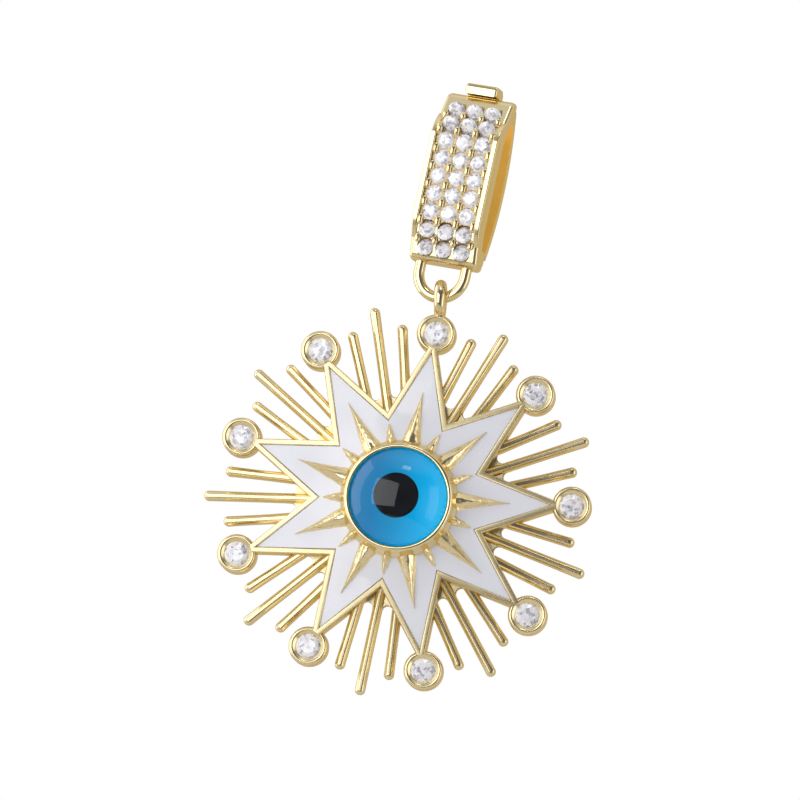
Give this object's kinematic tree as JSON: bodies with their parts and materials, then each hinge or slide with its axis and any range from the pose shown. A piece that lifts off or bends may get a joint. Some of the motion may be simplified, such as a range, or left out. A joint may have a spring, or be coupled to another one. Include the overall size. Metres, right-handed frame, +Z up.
{
  "type": "evil eye starburst pendant on a clip bail",
  "caption": "Gold-plated starburst pendant with white enamel, a domed blue glass eye and small set stones, hanging from a stone-set bail that clips over a chain.",
  "frame": {"origin": "chain seat: where the chain bears in the top of the bail's opening, at the middle of its width", "axes": "+Z up, -Y to the front (stones and eye), +X to the right seen from the front; the chain runs along X"},
  "size_m": [0.029, 0.0096, 0.0478],
  "materials": {
    "gold_plate": "polished gold plate",
    "white_enamel": "glossy enamel",
    "blue_glass": "polished",
    "black_glass": "polished",
    "clear_glass": "polished",
    "crystal": "cut and polished"
  },
  "bodies": {
    "bail": {"bail_shell": "gold_plate", "hinge_pin": "gold_plate", "bail_stone_1": "crystal", "bail_stone_2": "crystal", "bail_stone_3": "crystal", "bail_stone_4": "crystal", "bail_stone_5": "crystal", "bail_stone_6": "crystal", "bail_stone_7": "crystal", "bail_stone_8": "crystal", "bail_stone_9": "crystal", "bail_stone_10": "crystal", "bail_stone_11": "crystal", "bail_stone_12": "crystal", "bail_stone_13": "crystal", "bail_stone_14": "crystal", "bail_stone_15": "crystal", "bail_stone_16": "crystal", "bail_stone_17": "crystal", "bail_stone_18": "crystal", "bail_stone_19": "crystal", "bail_stone_20": "crystal", "bail_stone_21": "crystal", "bail_stone_22": "crystal", "bail_stone_23": "crystal", "bail_stone_24": "crystal", "bail_stone_25": "crystal", "bail_stone_26": "crystal", "bail_stone_27": "crystal"},
    "gate": {"bail_gate": "gold_plate"},
    "drop": {"star_frame": "gold_plate", "enamel": "white_enamel", "eye_iris": "blue_glass", "eye_pupil": "black_glass", "eye_dome": "clear_glass", "tip_stone_1": "crystal", "tip_stone_2": "crystal", "tip_stone_3": "crystal", "tip_stone_4": "crystal", "tip_stone_5": "crystal", "tip_stone_6": "crystal", "tip_stone_7": "crystal", "tip_stone_8": "crystal", "tip_stone_9": "crystal"}
  },
  "joints": [
    {"name": "gate_hinge", "type": "hinge", "parent": "bail", "child": "gate", "pos_m": [0, -0.0003, -0.01078], "axis": [-1, 0, 0], "range_deg": [0, 70]},
    {"name": "drop_swing", "type": "hinge", "parent": "bail", "child": "drop", "pos_m": [0, -0.00078, -0.01421], "axis": [1, 0, 0], "range_deg": [-90, 90]}
  ]
}
